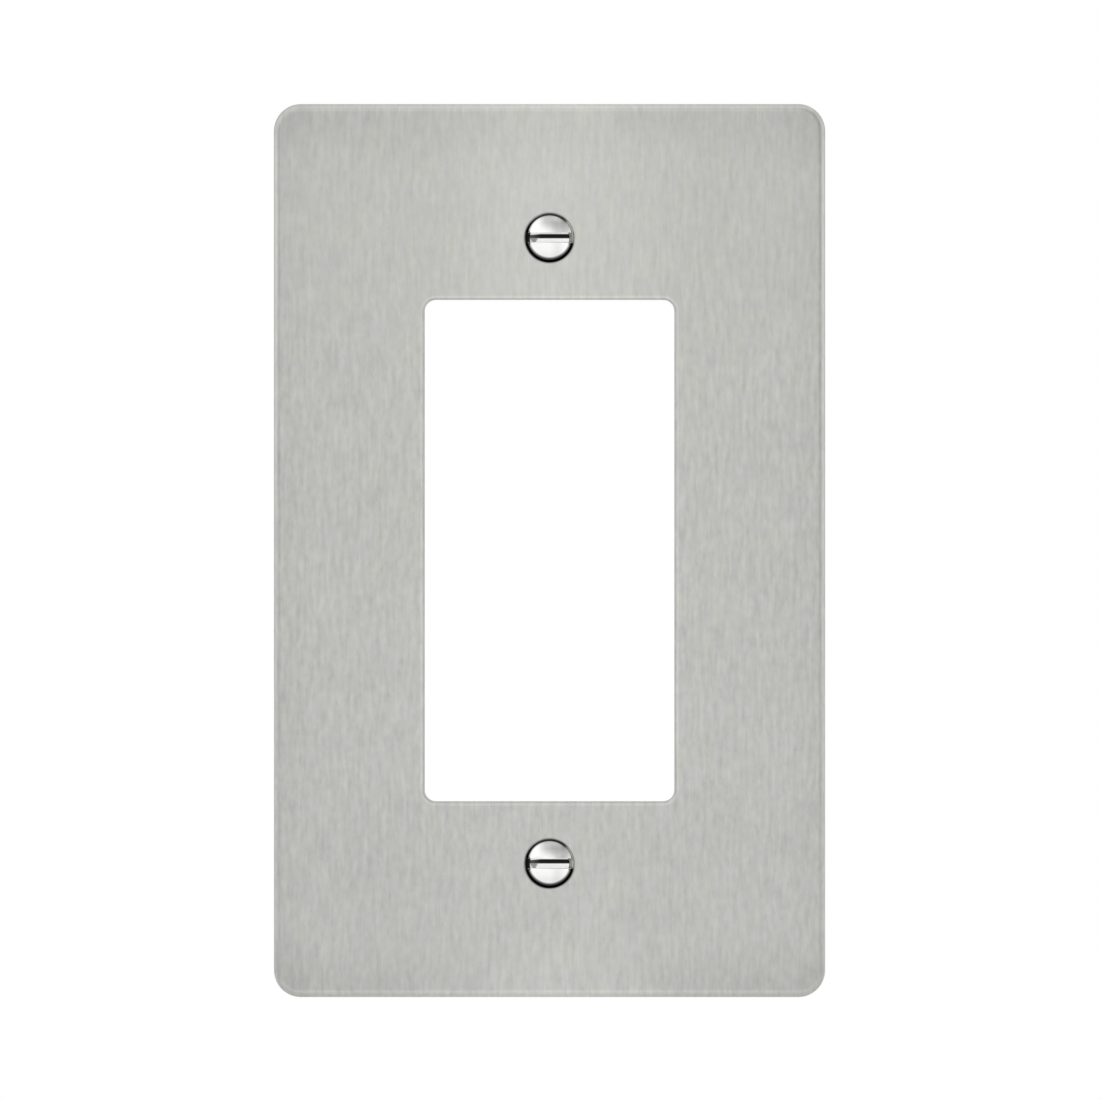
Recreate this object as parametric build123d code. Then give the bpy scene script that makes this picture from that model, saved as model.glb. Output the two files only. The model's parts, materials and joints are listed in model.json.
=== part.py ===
from build123d import *
import math
import os

# One-gang wall plate for a rectangular (decorator) device, with its two
# slotted oval-head screws held captive by nylon retaining washers.
# Frame: X is the width, +Z is up, the front face looks along -Y and the rim
# that meets the wall lies in the plane Y = 0. Origin: centre of the plate on
# the wall plane. Millimetres.

INCH = 25.4

# ---------------------------------------------------------------- plate
PLATE_W = 73.5          # overall width
PLATE_H = 119.1         # overall height
PLATE_D = 5.2           # wall plane to front face
SHEET_T = 0.8           # stamped sheet thickness
CORNER_R = 3.6          # corner radius seen from the front
BEND_R = 1.0            # outside radius where the face turns back
RIM_ROLL = 0.15         # broken edges of the rim
OPENING_W = 33.27       # device opening, 1.310 in
OPENING_H = 66.80       # device opening, 2.630 in
OPENING_R = 1.5         # opening corner radius
OPENING_ROLL = 0.35     # die roll on the front edge of the opening
OPENING_BURR = 0.10     # broken back edge of the opening

FACE_Y = -PLATE_D
FACE_BACK_Y = FACE_Y + SHEET_T

# ------------------------------------------- dimpled screw seats (82 deg)
SCREW_SPACING = 83.34   # 3-9/32 in between the two plate screws
SEATS_Z = (SCREW_SPACING / 2, -SCREW_SPACING / 2)
SINK_HALF = 41.0        # half of the countersink angle, degrees
SINK_R = 3.36           # seat radius where its cone meets the front face
SINK_ROLL = 0.16        # soft edge of the seat at the face
SINK_WALL = 0.70        # sheet left in the cone, measured square to it
HOLE_R = 2.00           # pierced hole at the bottom of the seat
SEAT_END_Y = -3.30      # back end of the dimple
SEAT_BACK_ROLL = 0.45   # blend between the dimple and the back of the face

TAN = math.tan(math.radians(SINK_HALF))
COS = math.cos(math.radians(SINK_HALF))

# --------------------------------------------- nylon retaining washers
NECK_R = 1.50           # plain screw neck under the head, thinner than the thread
PITCH = INCH / 32.0     # of the screw's 6-32 UNC thread
RETAINER_R = 3.50
RETAINER_T = 0.95
RETAINER_BORE_R = NECK_R + 0.05     # turns freely on the screw's neck
RETAINER_SLIT_W = 0.40              # relief slits that let it over the thread
RETAINER_SLIT_R = 2.55              # how far the slits reach
RETAINER_SLIT_ANGLES = (45, 135)
RETAINER_EDGE = 0.15                # chamfer of the outer edges
FREE_TURNS = 2.75                   # turns out until the washer meets the seat
FREE_TRAVEL = FREE_TURNS * PITCH
STOP_GAP = 0.03                     # left between washer and seat at the end
RETAINER_FRONT_Y = SEAT_END_Y + STOP_GAP + FREE_TRAVEL
RETAINER_BACK_Y = RETAINER_FRONT_Y + RETAINER_T

# ------------------------------------------ 6-32 UNC oval-head screws
THREAD_MAJOR_R = 0.138 * INCH / 2
THREAD_MINOR_R = THREAD_MAJOR_R - 0.6134 * PITCH
FLANK_ANGLE = 30        # slope of each thread flank, degrees
SCREW_L = 12.7          # head edge to tip, 1/2 in
HEAD_R = 3.10           # sharp-cornered head radius
HEAD_ROLL = 0.15        # rounding of the head's edge
DOME_H = 0.95           # dome height above the head's edge
SLOT_W = 1.22           # driver slot
SLOT_D = 1.50           # slot depth from the top of the dome
SLOT_BREAK = 0.07       # broken edges along the slot
SEAT_GAP = 0.04         # between head and seat, square to the cone
NECK_BLEND = 0.20       # blend between the head's cone and the neck
NECK_OVERLAP = 0.15     # how far the neck runs into the thread
SHOULDER_GAP = 0.03     # between washer and thread
TIP_CHAMFER = 0.55      # 45 degree lead at the tip


def sink_r(y):
    """Radius of the seat's cone at depth y."""
    return SINK_R - (y - FACE_Y) * TAN


def head_cone_y(radius):
    """Depth at which the cone under the screw head has this radius."""
    return FACE_Y + (SINK_R - SEAT_GAP / COS - radius) / TAN


EDGE_Y = head_cone_y(HEAD_R)                             # head's edge
TOP_Y = EDGE_Y - DOME_H                                  # top of the dome
TIP_Y = EDGE_Y + SCREW_L
SHOULDER_Y = RETAINER_BACK_Y + SHOULDER_GAP              # thread starts
THREAD_Y = SHOULDER_Y + (THREAD_MAJOR_R - NECK_R)        # full diameter


# -------------------------------------------------------------- helpers
def rounded_prism(width, height, radius, y_from, y_to):
    """Rounded-rectangle prism between two planes of constant Y, y_to in front."""
    plane = Plane.XZ.offset(-y_from)
    return extrude(plane * RectangleRounded(width, height, radius), amount=y_from - y_to)


def turned(points, at_z):
    """Solid of revolution about the Y-parallel axis through (0, 0, at_z).
    points are (radius, y) pairs round the half section."""
    line = Polyline(*[(radius, y, at_z) for radius, y in points], close=True)
    return revolve(make_face(line.edges()), Axis((0, 0, at_z), (0, 1, 0)), 360)


def edges_at(solid, y):
    """Edges of a solid that lie wholly in the plane Y = y."""
    found = []
    for edge in solid.edges():
        box = edge.bounding_box()
        if abs(box.min.Y - y) < 1e-4 and abs(box.max.Y - y) < 1e-4:
            found.append(edge)
    return found


def circles_at(solid, y, radius, z):
    """Circular edges in the plane Y = y, of this radius, about (0, z)."""
    found = []
    for edge in edges_at(solid, y):
        box = edge.bounding_box()
        centred = (abs((box.max.X + box.min.X) / 2) < 0.05
                   and abs((box.max.Z + box.min.Z) / 2 - z) < 0.05)
        if centred and abs(box.size.X / 2 - radius) < 0.02:
            found.append(edge)
    return found


def opening_edges(solid, y):
    """Edges of the device opening in the plane Y = y."""
    margin = 0.1
    return [edge for edge in edges_at(solid, y)
            if abs(edge.center().X) < OPENING_W / 2 + margin
            and abs(edge.center().Z) < OPENING_H / 2 + margin]


# ---------------------------------------------------------------- plate
def build_shell():
    """The stamped tray, open towards the wall."""
    outer = rounded_prism(PLATE_W, PLATE_H, CORNER_R, 0, FACE_Y)
    outer = fillet(edges_at(outer, FACE_Y), BEND_R)
    inner = rounded_prism(
        PLATE_W - 2 * SHEET_T, PLATE_H - 2 * SHEET_T, CORNER_R - SHEET_T, 0, FACE_BACK_Y)
    inner = fillet(edges_at(inner, FACE_BACK_Y), BEND_R - SHEET_T)
    return outer - inner


def build_plate():
    plate = build_shell()

    # the two dimples: sheet pushed back into a cone, then pierced
    wall = SINK_WALL / COS          # cone wall measured along the radius
    dimple_r = sink_r(FACE_BACK_Y) + wall
    embed = 0.3                     # dimple's overlap into the face sheet
    for z in SEATS_Z:
        plate += turned(
            [(0, FACE_BACK_Y - embed), (dimple_r, FACE_BACK_Y - embed),
             (dimple_r, FACE_BACK_Y), (sink_r(SEAT_END_Y) + wall, SEAT_END_Y),
             (0, SEAT_END_Y)], z)
    hole_y = FACE_Y + (SINK_R - HOLE_R) / TAN
    over = 0.5                      # cutter's reach beyond the sheet
    for z in SEATS_Z:
        plate -= turned(
            [(0, FACE_Y - over), (SINK_R + over * TAN, FACE_Y - over),
             (HOLE_R, hole_y), (HOLE_R, SEAT_END_Y + over), (0, SEAT_END_Y + over)], z)
    plate -= rounded_prism(OPENING_W, OPENING_H, OPENING_R, 1.0, FACE_Y - 1.0)

    # blends: seat mouths and dimple backs, then the opening and the rim
    for z in SEATS_Z:
        plate = fillet(circles_at(plate, FACE_Y, SINK_R, z), SINK_ROLL)
        plate = fillet(circles_at(plate, FACE_BACK_Y, dimple_r, z), SEAT_BACK_ROLL)
    plate = fillet(opening_edges(plate, FACE_Y), OPENING_ROLL)
    plate = fillet(opening_edges(plate, FACE_BACK_Y), OPENING_BURR)
    return fillet(edges_at(plate, 0.0), RIM_ROLL)


# --------------------------------------------------------------- screws
def round_corner(face, x, y, radius):
    """Fillet the corner of a flat section nearest (x, y)."""
    corner = face.vertices().sort_by_distance(Vector(x, y, 0))[0]
    return fillet(corner, radius)


def build_blank():
    """Slotted head and plain neck about the Y axis."""
    neck_y = head_cone_y(NECK_R)
    neck_end_y = SHOULDER_Y + NECK_OVERLAP
    dome_r = (HEAD_R ** 2 + DOME_H ** 2) / (2 * DOME_H)
    half = math.asin(HEAD_R / dome_r) / 2    # half the angle from axis to edge
    middle = (dome_r * math.sin(half), TOP_Y + dome_r * (1 - math.cos(half)), 0)

    dome = ThreePointArc((0, TOP_Y, 0), middle, (HEAD_R, EDGE_Y, 0))
    rest = Polyline((HEAD_R, EDGE_Y, 0), (NECK_R, neck_y, 0), (NECK_R, neck_end_y, 0),
                    (0, neck_end_y, 0), (0, TOP_Y, 0))
    half_section = make_face(dome.edges() + rest.edges())
    half_section = round_corner(half_section, HEAD_R, EDGE_Y, HEAD_ROLL)
    half_section = round_corner(half_section, NECK_R, neck_y, NECK_BLEND)
    blank = revolve(half_section, Axis.Y, 360)

    # driver slot, straight across the head
    cutter_d = 10
    blank -= Pos(0, TOP_Y + SLOT_D - cutter_d / 2, 0) * Box(3 * HEAD_R, cutter_d, SLOT_W)
    slot_rims = [edge for edge in blank.edges()
                 if abs(abs(edge.center().Z) - SLOT_W / 2) < 1e-3
                 and edge.center().Y < EDGE_Y - 0.2 and edge.length > 3]
    return fillet(slot_rims, SLOT_BREAK)


def ridge_half_width(radius):
    """Half the thickness of the thread ridge at a radius."""
    return PITCH / 16 + (THREAD_MAJOR_R - radius) * math.tan(math.radians(FLANK_ANGLE))


def due_thread_volume():
    """What the threaded length should hold: core, plus ridge, less the end leads."""
    end_leads = 0.66
    length = TIP_Y - SHOULDER_Y
    base = 2 * ridge_half_width(THREAD_MINOR_R)
    crest = 2 * ridge_half_width(THREAD_MAJOR_R)
    depth = THREAD_MAJOR_R - THREAD_MINOR_R
    centroid_r = THREAD_MINOR_R + depth / 3 * (base + 2 * crest) / (base + crest)
    ridge_per_mm = (base + crest) / 2 * depth * 2 * math.pi * centroid_r / PITCH
    return (math.pi * THREAD_MINOR_R ** 2 + ridge_per_mm) * length - end_leads


# Helix radius and turn of the envelope's seam in degrees, in order of preference
TRIM_CHOICES = (
    (THREAD_MINOR_R, 180), (THREAD_MINOR_R, 165), (THREAD_MAJOR_R, 180),
    (THREAD_MAJOR_R, 165), (THREAD_MINOR_R, 150), (THREAD_MINOR_R, 195),
    (THREAD_MAJOR_R, 150), (THREAD_MINOR_R, 120), (THREAD_MINOR_R, 210),
)
VOLUME_TOLERANCE = 0.006    # as a fraction of the volume due


def build_thread():
    """Rolled right-hand thread: a helical ridge on a core, trimmed to the major
    diameter, to the run-in cone behind the neck and to the tip. It is built
    along Z, then turned so that +Z becomes +Y."""
    # the ridge starts inside the core and stands proud of the major diameter
    inner, outer = THREAD_MINOR_R - 0.10, THREAD_MAJOR_R + 0.06
    turns_to = TIP_Y + PITCH
    turns_from = turns_to - 12 * PITCH
    core = Pos(0, 0, (turns_from + turns_to) / 2) * Cylinder(
        THREAD_MINOR_R, turns_to - turns_from + 2 * PITCH)
    half_envelope = make_face(Polyline(
        (0, 0, SHOULDER_Y), (NECK_R, 0, SHOULDER_Y), (THREAD_MAJOR_R, 0, THREAD_Y),
        (THREAD_MAJOR_R, 0, TIP_Y - TIP_CHAMFER), (THREAD_MAJOR_R - TIP_CHAMFER, 0, TIP_Y),
        (0, 0, TIP_Y), close=True).edges())
    envelope = revolve(half_envelope, Axis.Z, 360)
    due = due_thread_volume()

    # The trim is sensitive to where the envelope's seam meets the helix, so the
    # seam is turned until the result is one valid solid of the volume it is due.
    for helix_r, turn in TRIM_CHOICES:
        helix = Helix(PITCH, turns_to - turns_from, helix_r, center=(0, 0, turns_from))
        section = make_face(Polyline(
            (inner, 0, turns_from - ridge_half_width(inner)),
            (outer, 0, turns_from - ridge_half_width(outer)),
            (outer, 0, turns_from + ridge_half_width(outer)),
            (inner, 0, turns_from + ridge_half_width(inner)), close=True).edges())
        # guards against a sweep or boolean that fails for this choice
        try:
            thread = core + sweep(section, path=helix, is_frenet=True)
            trimmed = thread & (Rotation(0, 0, turn) * envelope)
        except ValueError:
            continue
        if len(trimmed.solids()) == 1 and trimmed.is_valid \
                and abs(trimmed.volume / due - 1) < VOLUME_TOLERANCE:
            return Rotation(-90, 0, 0) * trimmed
    raise ValueError("the thread could not be trimmed")


def build_screw():
    """The screw about the Y axis, centred on X = Z = 0."""
    blank = build_blank()
    thread = build_thread()
    screw = blank + thread
    # a failed union can silently drop one of its two parts
    if not screw.volume > thread.volume + 0.95 * blank.volume - 1.5:
        raise ValueError("the thread and the head did not join")
    return screw


# ------------------------------------------------------------ retainers
def build_retainer():
    """Washer on the screw's neck, at rest just in front of the thread."""
    front, back, edge = RETAINER_FRONT_Y, RETAINER_BACK_Y, RETAINER_EDGE
    ring = turned(
        [(RETAINER_BORE_R, front), (RETAINER_R - edge, front), (RETAINER_R, front + edge),
         (RETAINER_R, back - edge), (RETAINER_R - edge, back), (RETAINER_BORE_R, back)], 0)

    # crossed slits with round ends
    end_r = RETAINER_SLIT_W / 2
    reach = 2 * (RETAINER_SLIT_R - end_r)
    cutter_d = 4
    for angle in RETAINER_SLIT_ANGLES:
        blade = Box(reach, cutter_d, RETAINER_SLIT_W)
        for side in (-1, 1):
            blade += Pos(side * reach / 2, 0, 0) * Rotation(90, 0, 0) * Cylinder(
                end_r, cutter_d)
        ring -= Pos(0, (front + back) / 2, 0) * Rotation(0, angle, 0) * blade
    return ring


# --------------------------------------------------------------- export
def export_part(shape, name):
    """Write one STEP file, unwrapping a shape that holds a single solid."""
    solids = shape.solids()
    part = solids[0] if len(solids) == 1 else shape
    export_step(part, f"parts/{name}.step")


os.makedirs("parts", exist_ok=True)
export_part(build_plate(), "face_plate")
screw = build_screw()
retainer = build_retainer()
for place, z in zip(("upper", "lower"), SEATS_Z):
    export_part(Pos(0, 0, z) * screw, f"{place}_screw")
    export_part(Pos(0, 0, z) * retainer, f"{place}_screw_retainer")
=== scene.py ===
"""Looks for the wall plate cover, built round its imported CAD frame.

A brushed stainless sheet plate, two bright slotted oval-head screws in its
countersunk seats and, behind it, the nylon washer that keeps each screw.
The CAD is in metres: the wall is the plane y = 0, the room is towards -Y and
+Z is up. The materials work in millimetres.
"""

import json
import math
from types import SimpleNamespace

import bpy
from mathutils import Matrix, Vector

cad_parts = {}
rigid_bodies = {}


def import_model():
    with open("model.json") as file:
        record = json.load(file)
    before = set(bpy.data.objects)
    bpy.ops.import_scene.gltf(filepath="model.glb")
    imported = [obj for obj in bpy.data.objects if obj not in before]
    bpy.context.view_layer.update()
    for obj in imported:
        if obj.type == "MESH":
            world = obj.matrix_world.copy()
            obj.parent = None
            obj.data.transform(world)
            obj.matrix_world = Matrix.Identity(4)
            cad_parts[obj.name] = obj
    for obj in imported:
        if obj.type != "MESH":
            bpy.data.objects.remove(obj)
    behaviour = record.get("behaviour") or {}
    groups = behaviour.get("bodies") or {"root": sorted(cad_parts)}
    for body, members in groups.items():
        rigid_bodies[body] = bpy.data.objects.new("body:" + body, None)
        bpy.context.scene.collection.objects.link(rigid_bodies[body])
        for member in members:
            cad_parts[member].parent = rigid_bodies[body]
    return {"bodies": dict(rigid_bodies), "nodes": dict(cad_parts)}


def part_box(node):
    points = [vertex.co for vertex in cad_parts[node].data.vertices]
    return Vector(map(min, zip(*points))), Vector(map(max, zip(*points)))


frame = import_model()
parts = frame["nodes"]
kept = set(parts.values()) | set(frame["bodies"].values())
for stray in list(bpy.data.objects):
    if stray not in kept:
        bpy.data.objects.remove(stray)


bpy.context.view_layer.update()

# ------------------------------------------------------- measures, millimetres
PLATE_LO, PLATE_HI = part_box("face_plate")                    # metres
SCREW_LO, SCREW_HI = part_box("upper_screw")                   # metres
HALF_W, HALF_H = PLATE_HI.x * 1000, PLATE_HI.z * 1000
FACE_Y = PLATE_LO.y * 1000                                   # outside of the face
SHEET = 0.8                                                  # sheet thickness
BEND = 1.0                                                   # outside bend radius
BEND_MARGIN = 0.1                                            # flat counted as bend
SCREW_Z = (SCREW_LO.z + SCREW_HI.z) / 2 * 1000               # screw axis height
OPEN_HALF_W, OPEN_HALF_H = 16.635, 33.40                     # opening in the face
OPEN_CORNER = 1.5                                            # its corner radius
LIT_X, LIT_Z = 0.95, 0.31                                    # lit side of a seat
TINY = 0.01                                                  # keeps divisors off zero


# ------------------------------------------------------------- shader building
def operator(operation):
    return lambda self, other: calc(operation, self, other)


def reflected(operation):
    return lambda self, other: calc(operation, other, self)


class Value:
    """A node's output: each operator on it adds a Math node. Comparisons give 0 or 1."""

    def __init__(self, socket):
        self.socket = socket

    def __abs__(self):
        return calc("ABSOLUTE", self)

    __add__, __radd__ = operator("ADD"), reflected("ADD")
    __sub__, __rsub__ = operator("SUBTRACT"), reflected("SUBTRACT")
    __mul__, __truediv__ = operator("MULTIPLY"), operator("DIVIDE")
    __lt__, __gt__ = operator("LESS_THAN"), operator("GREATER_THAN")


def node(kind, inputs, tree=None, **settings):
    """Adds a node; the tree may be left out when one of the inputs is a Value."""
    tree = tree or next(v.socket.id_data for v in inputs.values() if isinstance(v, Value))
    made = tree.nodes.new(kind)
    count = len(tree.nodes)
    made.location = (220 * (count % 12), -260 * (count // 12))
    for key, setting in settings.items():
        setattr(made, key, setting)
    for key, given in inputs.items():
        if isinstance(given, Value):
            tree.links.new(given.socket, made.inputs[key])
        else:
            made.inputs[key].default_value = given
    return made


def value(kind, inputs, output=0, **settings):
    return Value(node(kind, inputs, **settings).outputs[output])


def calc(operation, *terms, tree=None):
    return value("ShaderNodeMath", dict(enumerate(terms)), tree=tree, operation=operation)


def sign(x):
    return calc("SIGN", x)


def maximum(x, y):
    return calc("MAXIMUM", x, y)


def hypot(x, y):
    return calc("SQRT", x * x + y * y)


def ramp(x, off, full, at_off=0.0, at_full=1.0, smooth=True):
    """Runs from at_off where x is off to at_full where x is full, clamped."""
    return value("ShaderNodeMapRange", dict(enumerate((x, off, full, at_off, at_full))),
                 clamp=True, interpolation_type="SMOOTHSTEP" if smooth else "LINEAR")


def band(x, one, other):
    """1 between two ramps, each given as (off, full)."""
    return ramp(x, *one) * ramp(x, *other)


def dim(mask, by):
    return 1.0 - mask * by


def lift(mask, by):
    return 1.0 + mask * by


def vary(start, texture, by):
    """Swings the start value by a texture that runs from 0 to 1."""
    return start + (texture - 0.5) * by


def blend(mask, off, full):
    """A number: off where the mask is 0, full where it is 1."""
    return value("ShaderNodeMix", {0: mask, 2: off, 3: full},
                 data_type="FLOAT", clamp_factor=True)


def mix(mask, off, full):
    """A colour: off where the mask is 0, full where it is 1."""
    return value("ShaderNodeMix", {0: mask, 6: off, 7: full}, output=2,
                 data_type="RGBA", clamp_factor=True)


def tint(colour, factor):
    return value("ShaderNodeVectorMath", {0: colour, "Scale": factor}, operation="SCALE")


def combine(x, y, z):
    return value("ShaderNodeCombineXYZ", {0: x, 1: y, 2: z})


def scaled(x, y, z, by):
    return combine(x * by, y * by, z * by)


def split(vector):
    return [Value(part) for part in node("ShaderNodeSeparateXYZ", {0: vector}).outputs]


def noise(vector, scale=1.0, detail=2.0, rough=0.5):
    return value("ShaderNodeTexNoise", {"Vector": vector, "Scale": scale, "Detail": detail,
                                        "Roughness": rough}, noise_dimensions="3D")


def streaks(across, along, width, length, seed, detail, rough=0.5):
    """Noise stretched to about the given width and length in mm."""
    return noise(combine(across * (1 / width), along * (1 / length), seed),
                 detail=detail, rough=rough)


def bump(height, distance):
    return value("ShaderNodeBump", {"Strength": 0.5, "Distance": distance, "Height": height})


def place_mm(tree):
    """The point in the object's own frame, in millimetres, as x, y, z."""
    place = value("ShaderNodeTexCoord", {}, output="Object", tree=tree)
    return split(value("ShaderNodeVectorMath", {0: place, 1: (1000.0, 1000.0, 1000.0)},
                       operation="MULTIPLY"))


def geometry(tree, output):
    return split(value("ShaderNodeNewGeometry", {}, output=output, tree=tree))


def clear_tree(owner):
    owner.use_nodes = True
    owner.node_tree.nodes.clear()
    return owner.node_tree


def new_material(name):
    made = bpy.data.materials.new(name)
    return made, clear_tree(made)


def surface(shader):
    node("ShaderNodeOutputMaterial", {"Surface": shader})


def principled(inputs):
    surface(value("ShaderNodeBsdfPrincipled", inputs))


def screw_radius(x, z):
    """Distance from the nearer screw axis, and how far beyond it from mid height."""
    beyond = abs(z) - SCREW_Z
    return hypot(x, beyond), beyond


def lit_side(across, up, length):
    """Near 1 on the side towards the upper right, where light gets into the seat."""
    return (across * LIT_X + up * LIT_Z) / length


# ------------------------------------------------------- brushed sheet (plate)
# name: stroke width mm, stroke length mm, seed, detail, roughness
GRAIN = {
    "strokes": (0.64, 1.45, 11.0, 1.4, 0.5),
    "long": (0.66, 4.6, 23.0, 1.2, 0.5),
    "hair": (0.11, 9.0, 37.0, 2.0, 0.6),
    "fine": (0.045, 3.5, 51.0, 1.0, 0.5),
    "cloud": (9.0, 16.0, 67.0, 2.0, 0.55),
    "patch": (2.4, 4.0, 79.0, 1.0, 0.5),
    "rare": (0.16, 14.0, 91.0, 1.0, 0.4),
}


def sheet_place(x, z, depth):
    """Grain coordinates that follow the sheet round its bends."""
    side = abs(x) > HALF_W - BEND - BEND_MARGIN
    ends = abs(z) > HALF_H - BEND - BEND_MARGIN
    across = x + sign(x) * depth * side
    along = z + sign(z) * depth * ends
    # a slow sideways wander keeps the strokes from being ruled lines
    wander = noise(combine(across * 0.10, along * 0.035, 3.0), detail=1.0)
    return vary(across, wander, by=0.9), along


def grain_shade(grain, along, depth):
    """Shade of the strokes: each term swings about 1."""
    # calmer on the turned-back rim, and where the belt ran on and off the sheet
    swing = dim(ramp(depth, off=0.9, full=1.6), by=0.55)
    run_on = ramp(along, off=20.0, full=42.0) * 0.24 + ramp(along, off=-30.0, full=-45.0) * 0.11
    swing = swing * (1.0 - run_on)
    shade = 1.0 + (grain.strokes - 0.5) * swing * 0.28
    shade = shade + (grain.long - 0.5) * swing * 0.31
    shade = vary(shade, grain.hair, by=0.10)
    shade = vary(shade, grain.fine, by=0.10)
    return vary(shade, grain.cloud, by=0.07)


def painted_broad_light(shade, across, along, z, from_side, from_end):
    """Painted light over the sheet: a broad painted highlight down the middle, painted shade
    towards the edges and a painted highlight on the short bends.
    """
    # painted highlight: the middle is a little brighter, top to bottom
    centre_sheen = calc("EXPONENT", across * across * (-1 / 190.0))
    sheen_reach = (ramp(along, off=-35.5, full=-27.5, at_off=0.34)
            + ramp(along, off=-50.0, full=-58.0, at_full=0.40))
    shade = shade + centre_sheen * sheen_reach * 0.125
    # painted shade: darker towards the edges, darkest in the corners
    near_end = ramp(from_end, off=8.5, full=1.5)
    bottom = z < 0.0
    painted_edge_shade = near_end * blend(bottom, off=0.060, full=(1.0 - centre_sheen) * 0.070)
    painted_edge_shade = painted_edge_shade + ramp(from_side, off=7.5, full=1.5) * near_end * 0.042
    painted_edge_shade = painted_edge_shade + ramp(from_side, off=6.0, full=1.5) * 0.034
    painted_edge_shade = painted_edge_shade + ramp(along, off=-25.0, full=-40.0) * 0.018
    shade = shade - painted_edge_shade
    # painted highlight along the short bends
    painted_bend_highlight = band(from_end, (1.18, 0.92), (0.22, 0.55))
    return shade + painted_bend_highlight * blend(bottom, off=0.070, full=0.035)


def opening_shade(shade, x, y, z, depth):
    """Shades the rim of the opening; also gives the mask of its torn edge."""
    # distance out from the rounded outline of the opening
    off_x = maximum(abs(x) - (OPEN_HALF_W - OPEN_CORNER), 0.0)
    off_z = maximum(abs(z) - (OPEN_HALF_H - OPEN_CORNER), 0.0)
    rim = hypot(off_x, off_z) - OPEN_CORNER

    # sheared edge: a dull break behind a bright shear
    in_open = rim < 0.09
    tear = streaks(x + z, y, width=0.10, length=1.2, seed=8.0, detail=2.0)
    cut = in_open * ramp(depth, off=0.30, full=0.42)
    shade = shade * blend(cut * 0.55, off=1.0, full=0.45 + tear * 0.5)

    # the rim is rolled over: a painted highlight on its crown, painted shade on the turn inside
    # that
    on_face = ramp(depth, off=0.40, full=0.30)
    painted_rim_highlight = band(rim, (0.22, 0.36), (0.62, 0.46)) * on_face
    painted_rim_shade = ramp(rim, off=0.30, full=0.18) * on_face
    shade = shade * lift(painted_rim_highlight, by=0.11)
    return shade * dim(painted_rim_shade, by=0.13), cut


def painted_seat_shadow(shade, x, z, normal_y):
    """Painted shadow in the gap round each screw head, and a painted highlight on its lit side.

    It is least where the light from above right reaches it.
    """
    radius, beyond = screw_radius(x, z)
    up = beyond * sign(z)
    seat = ramp(radius, off=3.58, full=3.14)
    open_side = ramp(lit_side(x, up, maximum(radius, TINY)), off=0.80, full=0.95)
    seat = seat * ramp(normal_y, off=0.05, full=-0.05)
    top_side = ramp(up / maximum(radius, TINY), off=0.3, full=0.95)
    lip = blend(ramp(radius, off=3.14, full=3.26), off=0.05, full=0.66)
    # painted shadow in the gap, lightest on the lit side and fading down into the seat
    painted_gap_shadow = seat * blend(open_side, off=0.985 - top_side * 0.42, full=lip)
    painted_gap_shadow = painted_gap_shadow * ramp(radius, off=2.10, full=3.00, at_off=0.60)
    shade = shade * (1.0 - painted_gap_shadow)
    # painted highlight on the seat's lit side
    return shade * lift(seat * open_side, by=0.45)


def brushed_sheet():
    made, tree = new_material("brushed_stainless_sheet")
    x, y, z = place_mm(tree)
    normal_x, normal_y, _ = geometry(tree, "Normal")
    depth = maximum(y - FACE_Y, 0.0)
    from_side = HALF_W - abs(x)
    from_end = HALF_H - abs(z)
    across, along = sheet_place(x, z, depth)
    grain = SimpleNamespace(**{name: streaks(across, along, *row)
                               for name, row in GRAIN.items()})

    shade = grain_shade(grain, along, depth)
    shade = painted_broad_light(shade, across, along, z, from_side, from_end)
    # a few single scratches, brighter than the rest
    scratch = ramp(grain.rare, off=0.70, full=0.80)
    shade = shade + scratch * 0.05

    # the back of the sheet keeps its mill finish: duller, hardly any grain
    behind = (y > FACE_Y + SHEET * 0.5) * (abs(x) < HALF_W - SHEET * 0.94)
    behind = behind * (abs(z) < HALF_H - SHEET * 0.94)
    mill = noise(combine(across * 0.9, along * 0.55, 5.0), detail=4.0, rough=0.6)
    shade = blend(behind, off=shade, full=vary(0.86, mill, by=0.16))
    # the trimmed end of the turned-back rim, against the wall, is torn metal
    trim = ramp(y, off=-0.12, full=-0.02)
    trim_tear = noise(combine(x * 5.0, z * 5.0, 13.0), detail=3.0, rough=0.6)
    shade = shade * blend(trim, off=1.0, full=0.62 + trim_tear * 0.45)
    # a painted dark line where the long bends start
    shade = shade * dim(band(from_side, (0.34, 0.52), (1.05, 0.68)), by=0.085)

    shade, cut = opening_shade(shade, x, y, z, depth)
    shade = painted_seat_shadow(shade, x, z, normal_y)
    base = mix(ramp(grain.patch, off=0.32, full=0.68),
               off=(0.520, 0.528, 0.496, 1), full=(0.516, 0.519, 0.504, 1))

    rough = vary(0.30, grain.hair, by=0.16)
    rough = vary(rough, grain.strokes, by=0.10)
    rough = blend(behind, off=rough, full=vary(0.42, mill, by=0.25))
    rough = blend(cut, off=rough, full=0.5)
    rough = blend(trim, off=rough, full=0.36 + trim_tear * 0.25)

    height = grain.hair * 0.6 + grain.fine * 0.4
    height = height + scratch * -0.5
    height = blend(behind, off=height, full=mill)
    principled({
        "Base Color": tint(base, shade),
        "Metallic": 1.0,
        "Roughness": rough,
        "Anisotropic": blend(behind, off=0.65, full=0.15),
        "Normal": bump(height, distance=4e-6),
        # level, at right angles to the normal; the offset keeps it from vanishing
        "Tangent": combine(normal_y - 0.02, normal_x * -1.0, 0.0),
    })
    return made


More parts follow.
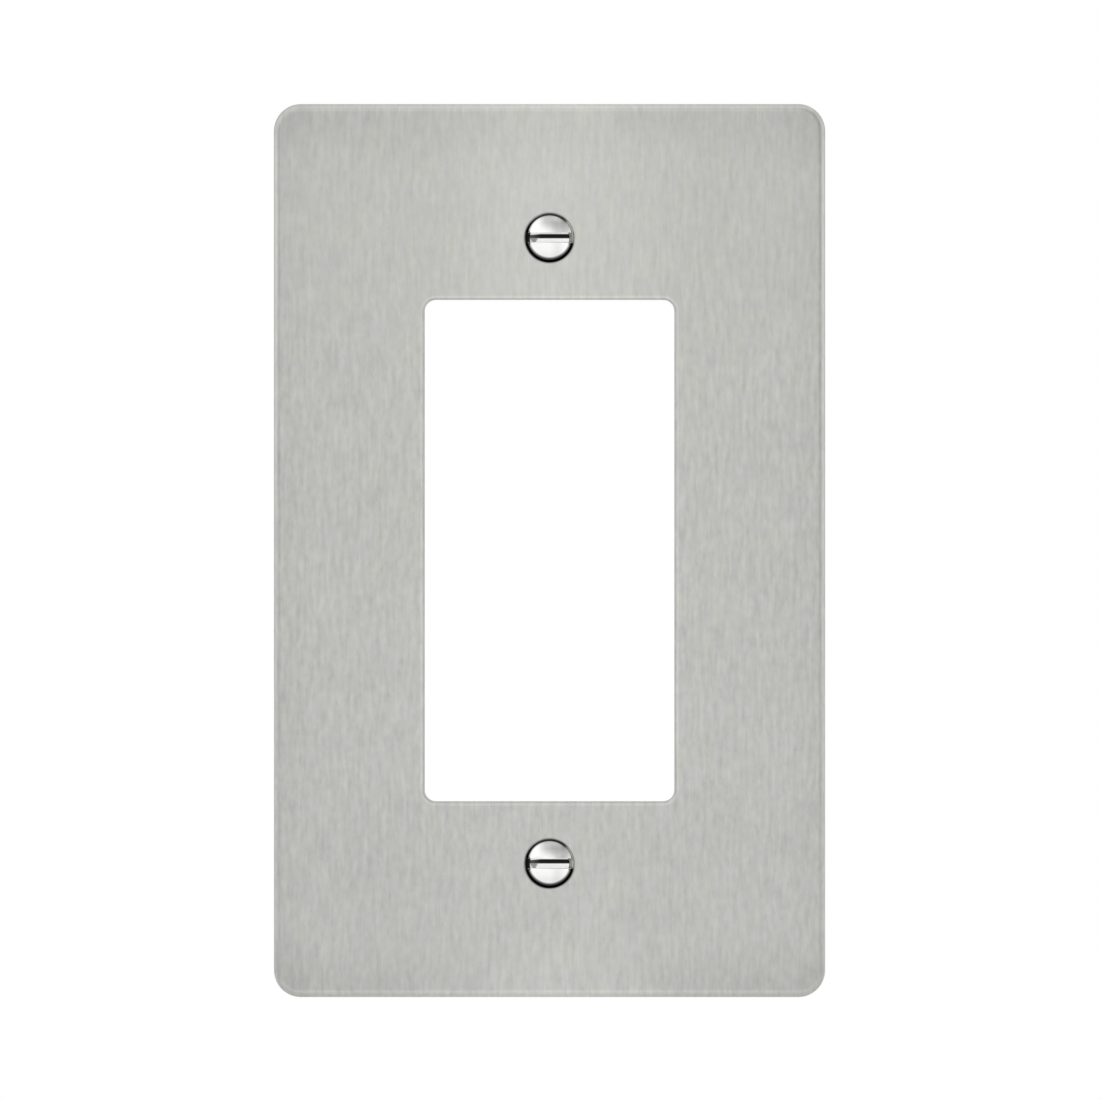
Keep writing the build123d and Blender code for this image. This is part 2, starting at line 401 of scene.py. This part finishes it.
# -------------------------------------------------------------- bright screws
def slot_shadow(tree, across, up):
    """Shade on the slot's floor, whichever way the screw is turned.

    Light falls in from above and from the right, so the floor lies in the
    shade of its upper wall.
    """
    light = value("ShaderNodeVectorTransform", {0: (0.45, 0.0, 0.89)}, tree=tree,
                  vector_type="VECTOR", convert_from="WORLD", convert_to="OBJECT")
    light_x, _, light_z = split(light)
    high = up * sign(light_z)
    along = across * sign(light_x)
    near_end = ramp(along, off=-1.20, full=-2.25, smooth=False)
    shade_line = 0.56 - abs(light_z) * 0.70
    lit_lip = 0.54 - near_end * 0.10
    line = (ramp(high - shade_line, off=-0.07, full=0.09)
            * ramp(lit_lip - high, off=-0.06, full=0.07))
    # painted shadow: a soft grey corner at the end of the slot away from the light
    corner_in = high * 0.54 - 1.46
    corner_out = -2.85 - high * 0.88
    corner_shadow = (ramp(along - corner_in, off=0.14, full=-0.26)
              * ramp(along - corner_out, off=-0.18, full=0.30))
    corner_shadow = corner_shadow * ramp(high - lit_lip, off=0.05, full=-0.10)
    return maximum(line * (0.985 - near_end * 0.06), corner_shadow * 0.68)


def painted_dome_reflections(colour, head, normal):
    """Painted reflections: tones down the parts of the dome that look at dim quarters of the
    room.
    """
    normal_x, normal_y, normal_z = normal
    # painted reflection: the lower half looks down at the grey of the floor
    low = (ramp(normal_z * -1.0, off=0.06, full=0.24)
           * ramp(hypot(normal_x, normal_z), off=0.52, full=0.42))
    colour = tint(colour, dim(low * head, by=0.08))
    low_right = band(normal_x, (-0.02, 0.20), (0.38, 0.20))
    low_right = low_right * ramp(normal_z, off=-0.06, full=-0.16)
    colour = tint(colour, dim(low_right * head, by=0.13))
    # painted reflection: the upper half looks up at the dim roof of the tent, more to the right
    roof = (ramp(normal_x, off=-0.36, full=-0.06)
            * ramp(normal_z, off=0.12, full=0.36, smooth=False))
    roof = roof * (0.45 - ramp(normal_x, off=0.05, full=0.16) * 0.10)
    far_right = ramp(normal_x, off=0.22, full=0.33) * ramp(normal_z, off=0.10, full=0.17)
    roof = roof + far_right * 0.17
    roof = roof * (head * ramp(normal_y, off=-0.60, full=-0.80))
    return tint(colour, 1.0 - roof)


def painted_shoulder_shade(colour, head, radius, normal):
    """Painted shade on the outer shoulder of the dome.

    It looks across the plate at the dark of the seat and the room below, and
    only its upper right catches the light.
    """
    normal_x, normal_y, normal_z = normal
    tilt = hypot(normal_x, normal_z)
    length = maximum(tilt, TINY)
    upward = normal_z / length
    edge_from = 0.484 + upward * 0.014
    shoulder = head * ramp(tilt - edge_from, off=-0.016, full=0.026)
    shoulder = shoulder * ramp(lit_side(normal_x, normal_z, length), off=0.940, full=0.850)
    shoulder = shoulder * ramp(radius, off=2.45, full=2.60)
    # the cone under the head is plain metal again
    shoulder = shoulder * ramp(normal_y, off=0.30, full=-0.10)
    return tint(colour, dim(shoulder, by=0.95 - ramp(upward, off=0.3, full=0.95) * 0.44))


def bright_screw(name, seed):
    made, tree = new_material(name)
    across, y, z = place_mm(tree)
    radius, beyond = screw_radius(across, z)
    up = beyond * sign(z)
    normal = geometry(tree, "Normal")

    # faint turning rings on the dome, blotches and specks all over
    rings = noise(combine(radius * 9.0, seed, 0.0), detail=3.0, rough=0.6)
    blotch = noise(combine(across * 0.8, y * 0.8, up * 0.8 + seed), detail=3.0, rough=0.6)
    speck = noise(scaled(across, y, up, by=14.0), detail=1.0)

    on_shank = ramp(y, off=-3.30, full=-3.10)
    # painted shade in the roots of the thread
    painted_root_shade = on_shank * ramp(radius, off=1.62, full=1.30)
    head = 1.0 - on_shank
    head_colour = mix(blotch, off=(0.93, 0.93, 0.925, 1), full=(0.885, 0.89, 0.885, 1))
    shank_colour = mix(blotch, off=(0.80, 0.81, 0.82, 1), full=(0.66, 0.68, 0.70, 1))
    colour = mix(on_shank, off=head_colour, full=shank_colour)
    colour = tint(colour, dim(painted_root_shade, by=0.42))
    colour = tint(colour, dim(ramp(speck, off=0.62, full=0.74), by=0.05))

    # the slot: saw marks along a dull floor
    in_slot = (abs(up) < 0.66) * (head * ramp(radius, off=3.2, full=3.0))
    slot_floor = in_slot * ramp(abs(normal[1]), off=0.9995, full=0.99995)
    saw = noise(combine(across * 0.7, up * 16.0, y * 16.0), detail=2.0)
    # painted shadow on the slot floor, from above and the right
    colour = tint(colour, 1.0 - slot_floor * slot_shadow(tree, across, up))

    colour = painted_dome_reflections(colour, head, normal)
    colour = painted_shoulder_shade(colour, head, radius, normal)

    rough = vary(0.10, blotch, by=0.08) + on_shank * 0.14 + slot_floor * 0.22
    height = rings * 0.5 + speck * 0.25 + saw * slot_floor * 1.5
    principled({"Base Color": colour, "Metallic": 1.0, "Roughness": rough,
                "Normal": bump(height, distance=2e-6)})
    return made


# -------------------------------------------------------------- nylon washers
def nylon():
    made, tree = new_material("natural_nylon")
    x, y, z = place_mm(tree)
    radius, _ = screw_radius(x, z)
    cloud = noise(scaled(x, y, z, by=0.9), detail=3.0, rough=0.55)
    skin = noise(scaled(x, y, z, by=9.0), detail=2.0, rough=0.6)
    ring = noise(combine(radius * 5.0, 2.0, 0.0), detail=2.0)
    colour = mix(cloud, off=(0.80, 0.785, 0.73, 1), full=(0.70, 0.69, 0.64, 1))
    colour = tint(colour, vary(0.97, ring, by=0.12))
    # lighter at the rim, darker round the bore
    colour = mix(ramp(radius, off=3.30, full=3.50) * 0.5,
                 off=colour, full=(0.86, 0.85, 0.81, 1))
    colour = tint(colour, dim(ramp(radius, off=1.80, full=1.55), by=0.22))
    principled({
        "Base Color": colour,
        "Roughness": vary(0.38, skin, by=0.25),
        "Normal": bump(skin * 0.6 + ring * 0.4, distance=1.2e-5),
        "Subsurface Weight": 0.35,
        "Subsurface Scale": 0.0008,
        "Subsurface Radius": (1.0, 0.9, 0.75),
    })
    return made


def dress(name, finish):
    slots = parts[name].material_slots
    if not slots:
        parts[name].data.materials.append(finish)
    for slot in slots:
        slot.material = finish


dress("face_plate", brushed_sheet())
dress("upper_screw", bright_screw("bright_screw_upper", seed=3.0))
dress("lower_screw", bright_screw("bright_screw_lower", seed=17.0))
washer = nylon()
dress("upper_screw_retainer", washer)
dress("lower_screw_retainer", washer)


# ------------------------------------------------------------------- the room
def spot(direction, centre, outer, inner):
    """A round patch of the tent, from its outer to its inner angle in degrees."""
    closeness = value("ShaderNodeVectorMath", {0: direction, 1: centre}, output=1,
                      operation="DOT_PRODUCT")
    return ramp(closeness, off=math.cos(math.radians(outer)), full=math.cos(math.radians(inner)))


def room():
    """A white tent: plain white to the eye, with softer and darker quarters in
    what the metal reflects."""
    world = bpy.data.worlds.new("white_tent")
    bpy.context.scene.world = world
    tree = clear_tree(world)
    place = value("ShaderNodeTexCoord", {}, output="Generated", tree=tree)
    direction = value("ShaderNodeVectorMath", {0: place}, operation="NORMALIZE")
    x, y, z = split(direction)
    front = y * -1.0                              # 1 towards the camera
    level = calc("ADD", 1.05, 0.0, tree=tree)     # overall brightness
    # sideways: a little darker about 30 degrees off, brighter near the plane
    flat = abs(x)
    dip = band(flat, (0.22, 0.42), (0.80, 0.58))
    dip = dip * ramp(abs(z), off=0.40, full=0.15)
    level = level - dip * 0.20
    level = level + ramp(flat, off=0.72, full=0.92) * 0.22
    # overhead: brighter, a little less so at the very top
    level = level + ramp(z, off=0.06, full=0.34) * 0.12
    level = level - ramp(z, off=0.70, full=0.95) * 0.06
    # below: a touch brighter, then falling
    level = level + band(z, (-0.20, -0.50), (-0.85, -0.60)) * 0.08
    # a grey gap in the tent, up to the right of the camera, and a seam by it
    level = level - spot(direction, (0.563, -0.669, 0.485), outer=36, inner=5) * 0.36
    level = level - spot(direction, (0.20, -0.82, 0.536), outer=26, inner=4) * 0.16
    # the far side of the tent is further from its lamps
    level = level - ramp(front, off=-0.15, full=-0.80) * 0.22
    tent = value("ShaderNodeBackground", {"Strength": level, "Color": (1.0, 0.998, 0.990, 1)})
    eye = value("ShaderNodeBackground", {"Color": (1, 1, 1, 1), "Strength": 1.0}, tree=tree)
    seen = value("ShaderNodeLightPath", {}, output="Is Camera Ray", tree=tree)
    both = value("ShaderNodeMixShader", {0: seen, 1: tent, 2: eye})
    node("ShaderNodeOutputWorld", {"Surface": both})


room()


def add_object(name, data):
    made = bpy.data.objects.new(name, data)
    bpy.context.scene.collection.objects.link(made)
    return made


def key_light():
    """A small softbox above and to the right, aimed at the middle of the plate."""
    place = Vector((0.32, -0.42, 0.52))
    data = bpy.data.lights.new("key_upper_right", "AREA")
    data.shape = "RECTANGLE"
    data.size = data.size_y = 0.14
    data.energy = 3.2
    light = add_object("key_upper_right", data)
    light.location = place
    light.rotation_mode = "QUATERNION"
    light.rotation_quaternion = (Vector((0, 0, 0)) - place).to_track_quat("-Z", "Y")
    light.visible_camera = False
    # polished metal would show its hard outline; the tent is what metal reflects
    light.visible_glossy = False


key_light()


# ------------------------------------------------------------------ the floor
FLOOR_HALF = 4.0                               # metres
FLOOR_GAP = 0.00002                            # metres below the plate


def pale_floor():
    made, tree = new_material("pale_floor")
    place = value("ShaderNodeTexCoord", {}, output="Object", tree=tree)
    grain = noise(place, scale=60.0, detail=3.0)
    colour = mix(grain, off=(0.77, 0.77, 0.765, 1), full=(0.74, 0.74, 0.735, 1))
    # towards the horizon the floor runs into the white of the tent
    slope = geometry(tree, "Incoming")[2]
    white = ramp(abs(slope), off=math.sin(math.radians(16)), full=math.sin(math.radians(6)))
    rays = node("ShaderNodeLightPath", {}, tree=tree).outputs
    glossy = Value(rays["Is Glossy Ray"])
    white = white * Value(rays["Is Camera Ray"])
    # and what the metal sees of it is the tent's white, not the floor's shadow
    white = maximum(white, glossy * 0.85)
    steep = ramp(abs(slope), off=0.08, full=0.32)
    steep = steep * ramp(abs(slope), off=0.80, full=0.48, at_off=0.15)
    strength = blend(glossy, off=1.0, full=0.975 + steep * 0.16)
    diffuse = value("ShaderNodeBsdfDiffuse", {"Color": colour})
    glow = value("ShaderNodeEmission", {"Color": (1, 1, 1, 1), "Strength": strength})
    surface(value("ShaderNodeMixShader", {0: white, 1: diffuse, 2: glow}))
    return made


def floor():
    z = PLATE_LO.z - FLOOR_GAP
    around = ((-1, -1), (1, -1), (1, 1), (-1, 1))
    mesh = bpy.data.meshes.new("floor")
    mesh.from_pydata([(x * FLOOR_HALF, y * FLOOR_HALF, z) for x, y in around],
                     [], [(0, 1, 2, 3)])
    made = add_object("floor", mesh)
    mesh.materials.append(pale_floor())


floor()

# ----------------------------------------------------------------- the camera
LENS, SENSOR = 200.0, 36.0                     # mm
FRAME_W = 0.14650                              # view width at the plate, metres
AIM_X, AIM_Z = 0.00006, 0.000076               # metres off the plate's centre

lens = bpy.data.cameras.new("camera")
lens.lens = LENS
lens.sensor_width = SENSOR
camera = add_object("camera", lens)
camera.location = (AIM_X, FACE_Y / 1000 - FRAME_W * LENS / SENSOR, AIM_Z)
camera.rotation_mode = "XYZ"
camera.rotation_euler = (math.pi / 2, 0, 0)
lens.clip_start, lens.clip_end = 0.01, 20.0
bpy.context.scene.camera = camera

view = bpy.context.scene.view_settings
view.view_transform = "Standard"
view.look = "None"
view.exposure, view.gamma = 0.0, 1.0
